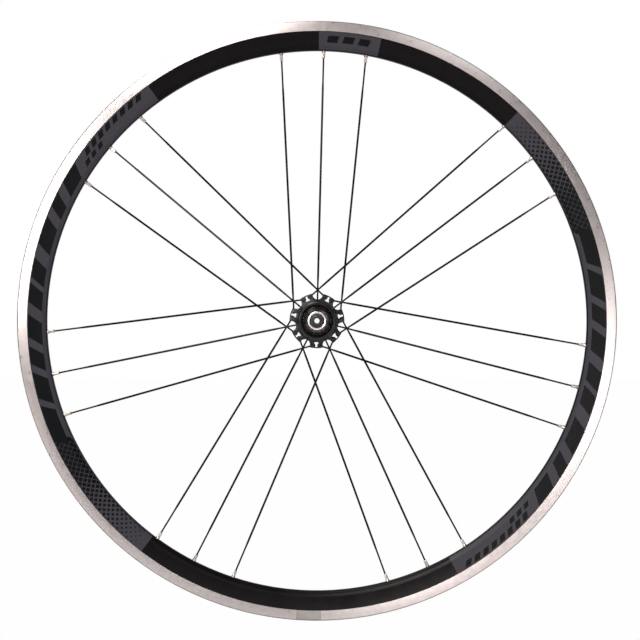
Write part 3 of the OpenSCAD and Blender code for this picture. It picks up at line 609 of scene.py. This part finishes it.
def wheel():
    """Rim, decals, spokes and nipples."""
    take_over(rim(), "wheel", "rim", slot="rim_alloy")
    for name, side in (("left_decals", -1), ("right_decals", 1)):
        take_over(decals(name, side), "wheel")
    for name, kind in (("left_spokes", LEFT), ("drive_spokes_leading", LEADING),
                       ("drive_spokes_trailing", TRAILING)):
        take_over(spokes(name, kind), "wheel", name, slot="black_spoke_steel")
    for name, kinds in (("left_nipples", [LEFT]), ("drive_nipples", [LEADING, TRAILING])):
        take_over(nipples(name, kinds), "wheel", name, slot="nickel_brass")


# ---------- hub ----------

def hub_barrel():
    """The turned shell: left flange with its head groove, waist, and the drum that holds the ratchet.

    The outline goes along the outside from left to right, and back through the bore.
    """
    y0, y1 = LEFT_FLANGE_Y, SHELL_END_Y
    flange_r, waist_r, drum_r, ratchet_r = 19.9, 12.2, 19.8, 17
    shoulder_r, tunnel_r = 11.6, 9
    outline = np.array([
        [BEARING_R, y0], [GROOVE_R[0], y0], [GROOVE_R[0], y0 + 6], [GROOVE_R[1], y0 + 6],
        [GROOVE_R[1], y0 + 0.8], [GROOVE_R[1] + 0.8, y0], [flange_r - 1, y0], [flange_r, y0 + 1],
        [flange_r, y0 + 8], [15.6, y0 + 9.2], [14.8, y0 + 11], [waist_r, y0 + 15],
        [waist_r, -5], [15, -1], [15.4, 5], [drum_r, 10.5], [drum_r, y1 - 0.6],
        [drum_r - 0.6, y1], [ratchet_r, y1], [ratchet_r, 12], [BEARING_R, 12],
        [BEARING_R, 1], [shoulder_r, 1], [shoulder_r, -1], [tunnel_r, -2], [tunnel_r, -27],
        [shoulder_r, -28], [shoulder_r, -30], [BEARING_R, -30]])
    radius = np.full(len(outline), 0.25)
    radius[[0, 1, 4, 5, 6, 7, 8]] = [0.2, 0.2, 0.3, 0.3, 0.35, 0.35, 0.5]
    radius[[9, 10, 11, 12, 13, 14, 15, 16]] = [2.5, 2.5, 5, 5, 3, 3, 3, 0.5]
    return lathe(rounded(outline, radius, 5), 160)


def star_radius(clock):
    """The star flange's edge: the outer circle, cut back by round scallops in line with the left spokes."""
    scallop_r, centre_r = 5.3, LOBE_R + 2.9
    off = (clock - FIRST_SPOKE + PITCH / 2) % PITCH - PITCH / 2
    across = centre_r * np.sin(np.radians(off))
    inside = np.abs(across) < scallop_r
    bite = centre_r * np.cos(np.radians(off)) - np.sqrt(np.maximum(scallop_r ** 2 - across ** 2, 0))
    return np.where(inside, np.minimum(bite, STAR_R), STAR_R)


def window_outline(clock):
    """The keyhole through one lobe: wide below, where the heads go in, and narrow above."""
    low, high = LOBE_R - 2.3, STAR_R - 1.3
    right = np.array([[WINDOW_HALF, low], [WINDOW_HALF, LOBE_R + 0.4], [SLOT_HALF, LOBE_R + 1.2],
                      [SLOT_HALF, high]])
    corner_r = [0.7, 0.5, 0.5, 1.0]
    hole = rounded(np.concatenate([right, right[::-1] * [-1, 1]]), corner_r + corner_r[::-1])
    a = math.radians(clock)
    return np.stack([hole[:, 0] * math.cos(a) + hole[:, 1] * math.sin(a),
                     hole[:, 1] * math.cos(a) - hole[:, 0] * math.sin(a)], -1)


def star_flange():
    """The star flange: its edge, bore and seven windows as one flat shape, extruded and bevelled."""
    bevel = 0.45
    clock = np.linspace(0, 360, TRIPLETS * 72, endpoint=False)
    ray = np.stack([np.sin(np.radians(clock)), np.cos(np.radians(clock))], -1)
    outlines = [star_radius(clock)[:, None] * ray, STAR_BORE_R * ray[::4]]
    outlines += [window_outline(FIRST_SPOKE + (k + 0.5) * PITCH) for k in range(TRIPLETS)]
    flat = bpy.data.curves.new("star_outline", "CURVE")
    flat.dimensions, flat.fill_mode = "2D", "BOTH"
    flat.extrude, flat.bevel_depth, flat.offset = (STAR_T / 2 - bevel) * MM, bevel * MM, -bevel * MM
    flat.bevel_resolution = 2
    for outline in outlines:
        line = flat.splines.new("POLY")
        line.points.add(len(outline) - 1)
        line.points.foreach_set("co", np.column_stack(
            [outline * MM, np.zeros(len(outline)), np.ones(len(outline))]).ravel())
        line.use_cyclic_u = True
    holder = bpy.data.objects.new("star_outline", flat)
    bpy.context.scene.collection.objects.link(holder)
    graph = bpy.context.evaluated_depsgraph_get()
    data = bpy.data.meshes.new_from_object(holder.evaluated_get(graph))
    bpy.data.objects.remove(holder)
    # the flat shape lies in its own XY, which becomes the frame's XZ
    points = np.zeros(len(data.vertices) * 3)
    data.vertices.foreach_get("co", points)
    points = points.reshape(-1, 3)
    data.vertices.foreach_set("co", np.column_stack(
        [points[:, 0], points[:, 2] + STAR_Y * MM, points[:, 1]]).ravel())
    work = bmesh.new()
    work.from_mesh(data)
    bmesh.ops.remove_doubles(work, verts=work.verts, dist=1e-6)
    bmesh.ops.recalc_face_normals(work, faces=work.faces)
    for face in work.faces:
        face.material_index = 1
    work.to_mesh(data)
    work.free()
    return data


def hub_shell():
    """The turned barrel and the star flange in one piece."""
    made = mesh_piece("hub_shell", [hub_barrel()], [HUB_BLACK, STAR_BLACK])
    star = star_flange()
    work = bmesh.new()
    work.from_mesh(made.data)
    work.from_mesh(star)
    work.to_mesh(made.data)
    work.free()
    bpy.data.meshes.remove(star)
    smooth(made.data, 28)
    return made


def turned_part(name, outline, radius, material, body, slot, segments=96):
    """A plain turned piece from its (radius, y) outline, standing for the CAD node of its name."""
    made = mesh_piece(name, [lathe(rounded(outline, radius), segments)], [material])
    return take_over(made, body, name, slot=slot)


def hexagon(y0, y1, across_flats, bore, round_r):
    """A hexagon nut: six flats, each end cut back by a cone, with a round bore.

    Its radius is the smaller of the flat's, which is half the width over cos(angle off the flat's
    middle), and the cone's.
    """
    clock = np.linspace(0, 360, 144, endpoint=False)
    flat = across_flats / 2 / np.cos(np.radians(clock % 60 - 30))
    y = np.array([y0, y0, y0 + 0.25, y0 + 0.6, y0 + 0.9, y1 - 0.9, y1 - 0.6, y1 - 0.25, y1, y1])
    cone = np.array([bore, round_r - 0.7, round_r, round_r + 0.6, np.inf])
    radius = np.minimum(flat[:, None], np.concatenate([cone, cone[::-1]])[None, :])
    verts = round_axle(radius, y, np.radians(clock)[:, None]).reshape(-1, 3)
    return verts, outward(verts, grid_faces(len(clock), len(y), True, True)), 0


def spline_bars(y0, y1):
    """The nine bars of a cassette body, one of them narrow, standing in the root cylinder.

    A (radius, y) section is carried through 12 or 20 degrees about the axle.
    """
    section = rounded([[15.6, y0], [17.25, y0], [17.25, y1], [15.6, y1]], [0.05, 0.05, 0.5, 0.05])
    bars = []
    for bar in range(9):
        half = 6 if bar == 0 else 10
        turn = np.radians(bar * 40 + np.linspace(-half, half, 13))[:, None]
        bars.append(closed_tube(round_axle(section[None, :, 0], section[None, :, 1], turn)))
    return bars


def freehub():
    """The cassette body: ratchet nose, flange, root cylinder with its splines, threaded mouth."""
    y0, y1 = node_span("freehub_body", 1)
    flange_y = SHELL_END_Y + 0.5
    spline_y = flange_y + 1.5
    nose_y, nose_r, root_r, flange_r = 22.4, 13.6, 16, 18.45
    bearing_r, inner_r, crest_r, valley_r = 11, 7.4, 14.35, 14.7
    thread_y = np.arange(y1 - 3.9, y1 - 0.4, 1.0)
    thread = np.stack([np.stack([np.full(4, valley_r), thread_y], -1),
                       np.stack([np.full(4, crest_r), thread_y + 0.5], -1)], 1).reshape(-1, 2)[::-1]
    outline = np.concatenate([
        [[inner_r, y0], [nose_r, y0], [nose_r, nose_y], [15.6, nose_y], [15.6, flange_y],
         [flange_r, flange_y], [flange_r, spline_y], [root_r, spline_y], [root_r, y1], [14.9, y1]],
        thread,
        [[valley_r, y1 - 4.2], [bearing_r, y1 - 4.2], [bearing_r, 24], [inner_r, 24]]])
    radius = np.full(len(outline), 0.12)
    radius[[5, 6, 8]] = 0.4
    body = lathe(rounded(outline, radius, 3), 144)
    made = mesh_piece("freehub_body", [body] + spline_bars(flange_y + 1.0, y1 - 0.5), [FREEHUB_GREY], 30)
    return take_over(made, "freehub", "freehub_body", slot="black_anodised_alloy")


def hub_and_axle():
    """Every piece of the hub that can be seen from outside."""
    take_over(hub_shell(), "wheel", "hub_shell", slot="black_anodised_alloy")
    freehub()

    low, high = node_span("axle", 1)
    stub_r, stub_l, bore_r = 4.95, 5.5, 2.75
    turned_part("axle", [[bore_r, low], [stub_r, low], [stub_r, low + stub_l], [AXLE_R, low + stub_l],
                         [AXLE_R, high - stub_l], [stub_r, high - stub_l], [stub_r, high],
                         [bore_r, high]],
                [0.35, 0.5, 0.05, 0.05, 0.05, 0.05, 0.5, 0.35], AXLE_BLACK, "axle", "black_oxide_steel")

    low, high = node_span("left_axle_sleeve", 1)
    turned_part("left_axle_sleeve",
                [[AXLE_R, low], [SLEEVE_R, low], [SLEEVE_R, high], [AXLE_R, high]],
                [0.1, 0.6, 0.1, 0.1], SLEEVE_GREY, "axle", "black_anodised_alloy")

    low, high = node_span("left_lock_ring", 1)
    face_r = (7.6, 9.5)
    outline = [[SLEEVE_R, low + 1.5], [face_r[0], low + 1.5], [face_r[0], low], [face_r[1], low],
               [face_r[1], high], [SLEEVE_R, high]]
    verts, faces, _ = lathe(rounded(outline, [0.1, 0.1, 0.15, 0.45, 0.2, 0.1]))
    # The recessed step inside the bright face takes the black axle material as painted shade of the gap
    # beside it, and the outer wall is black anodised; the face's warm tint is a painted reflection.
    ring_r = np.linalg.norm(verts[faces].mean(1)[:, [0, 2]], axis=1)
    step_in_painted_shade_and_black_wall = (ring_r < face_r[0] - 0.02) | (ring_r > face_r[1] - 0.08)
    made = mesh_piece("left_lock_ring", [(verts, faces, step_in_painted_shade_and_black_wall.astype(int))],
                      [BRIGHT_RING, AXLE_BLACK])
    take_over(made, "axle", "left_lock_ring", slot="bright_steel")

    low, high = node_span("left_dust_cap", 1)
    cap_r = node_span("left_dust_cap", 0)[1]
    turned_part("left_dust_cap", [[SLEEVE_R, low], [9.6, low], [9.9, low + 3], [cap_r, high - 2.5],
                                  [cap_r, high], [SLEEVE_R, high]],
                [0.1, 0.3, 1.6, 0.5, 0.15, 0.1], HUB_BLACK, "axle", "black_anodised_alloy", 128)

    low, high = node_span("right_dust_cap", 1)
    cap_r, cap_t, neck_r = 10.5, 1.6, 6.8
    turned_part("right_dust_cap", [[AXLE_R, low], [cap_r, low], [cap_r, low + cap_t],
                                   [neck_r, low + cap_t], [neck_r, high], [AXLE_R, high]],
                [0.1, 0.2, 0.3, 0.3, 0.2, 0.1], HUB_BLACK, "axle", "black_anodised_alloy")

    low, high = node_span("right_locknut", 1)
    washer_r, washer_t = 9.5, 2
    washer = lathe(rounded([[AXLE_R, high - washer_t], [washer_r, high - washer_t], [washer_r, high],
                            [AXLE_R, high]], [0.1, 0.3, 0.35, 0.2]))
    nut = hexagon(low, high - 1, across_flats=17, bore=AXLE_R, round_r=8.6)
    take_over(mesh_piece("right_locknut", [nut, washer], [ZINC], 24), "axle", "right_locknut",
              slot="bright_steel")

    low, high = node_span("freehub_seal", 1)
    turned_part("freehub_seal", [[15.7, low], [17, low], [17, high], [16.6, high - 0.3], [16.2, high],
                                 [15.7, high]],
                0.12, RUBBER, "wheel", "seal_rubber")


def inner_works():
    """The CAD nodes that stay shown, all inside the hub or the rim: each gets what it is made of."""
    for name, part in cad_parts.items():
        if part.hide_render:
            continue
        if "cage" in name:
            finish = NYLON
        elif "seals" in name:
            finish = RUBBER
        elif "spacer" in name or name == "rim_joint_sleeve":
            finish = PLAIN_ALLOY
        else:
            finish = BEARING_STEEL
        part.data.materials.clear()
        part.data.materials.append(finish)


# ---------- studio ----------

def softbox(name, clock, tilt, distance, size, power, warmth="#ffffff"):
    """A rectangular area light aimed at the wheel's centre.

    clock is its direction round the wheel. tilt is its angle off the axle: 0 is straight out on the
    left side, 90 in the wheel's plane, and more than 90 behind it.
    """
    lamp = bpy.data.lights.new(name, "AREA")
    lamp.shape, lamp.size, lamp.size_y = "RECTANGLE", size[0], size[1]
    lamp.energy, lamp.color = power, colour(warmth)[:3]
    made = bpy.data.objects.new(name, lamp)
    bpy.context.scene.collection.objects.link(made)
    c, t = math.radians(clock), math.radians(tilt)
    made.location = (distance * math.sin(t) * math.sin(c), -distance * math.cos(t),
                     distance * math.sin(t) * math.cos(c))
    made.rotation_mode = "QUATERNION"
    made.rotation_quaternion = made.location.to_track_quat("Z", "Y")
    return made


def show_camera(tree, seen, felt, output):
    """Shows the camera one shader, and every other ray another."""
    path = add(tree, "LightPath")
    mixed = add(tree, "MixShader", {0: path.outputs["Is Camera Ray"], 1: felt.outputs[0],
                                    2: seen.outputs[0]})
    tree.links.new(mixed.outputs[0], output.inputs["Surface"])


def studio():
    """A white room, a pale floor under the wheel, and soft lights round it, overhead and behind."""
    room = bpy.data.worlds.new("white_room")
    bpy.context.scene.world = room
    room.use_nodes = True
    tree = room.node_tree
    tree.nodes.clear()
    seen = add(tree, "Background", {"Color": colour("#ffffff"), "Strength": 1.0})
    felt = add(tree, "Background", {"Color": colour("#f4f5f7"), "Strength": 0.25})
    show_camera(tree, seen, felt, add(tree, "OutputWorld"))

    made, tree, bsdf = new_material("pale_studio_floor", Roughness=0.9, Specular_IOR_Level=0.1)
    point = add(tree, "TexCoord").outputs["Object"]
    cloud = add(tree, "TexNoise", {"Vector": point, "Scale": 1 / (400 * MM), **SOFT}).outputs[0]
    tint = add(tree, "Mix", {0: cloud, 6: colour("#d6d6d8"), 7: colour("#dcdcde")}, data_type="RGBA")
    tree.links.new(tint.outputs[2], bsdf.inputs["Base Color"])
    seen = add(tree, "Emission", {"Color": colour("#fefefe"), "Strength": 1.0})
    show_camera(tree, seen, bsdf, tree.nodes["Material Output"])
    half, down = 9000.0, -RIM_R - 0.3
    corners = np.array([[-half, -half, down], [half, -half, down],
                        [half, half, down], [-half, half, down]])
    mesh_piece("studio_floor", [(corners, np.array([[0, 1, 2, 3]]), 0)], [made])

    softbox("key_left", 291, 22, 2.6, (0.6, 0.7), 20, "#fffaf6")
    softbox("key_upper_left", 337, 36, 2.6, (0.85, 0.85), 46, "#fffaf6")
    softbox("fill_upper_right", 26, 28, 2.6, (0.5, 0.5), 4)
    softbox("fill_right", 100, 15, 2.6, (0.5, 0.4), 5)
    softbox("overhead", 345, 72, 2.2, (1.4, 1.2), 36)
    softbox("back_left", 325, 112, 2.6, (1.4, 1.4), 30)
    softbox("back_right", 60, 140, 3.0, (2.0, 2.0), 14)


def camera():
    """A long lens on the axle's line, looking at the left side; the shift only frames the wheel."""
    distance, sensor = 2.2, 36
    rim_share = 0.93765625     # how much of the view's width the rim fills
    lens = bpy.data.cameras.new("camera")
    lens.sensor_width = sensor
    lens.lens = sensor * (distance - HALF_W * MM) / (2 * RIM_R * MM / rim_share)
    lens.shift_x, lens.shift_y = 0.0048, 0.0012
    lens.clip_start, lens.clip_end = 0.05, 50
    made = bpy.data.objects.new("camera", lens)
    made.location, made.rotation_euler = (0, -distance, 0), (math.pi / 2, 0, 0)
    bpy.context.scene.collection.objects.link(made)
    bpy.context.scene.camera = made


camera()
wheel()
hub_and_axle()
inner_works()
studio()
bpy.context.scene.view_settings.view_transform = "Standard"
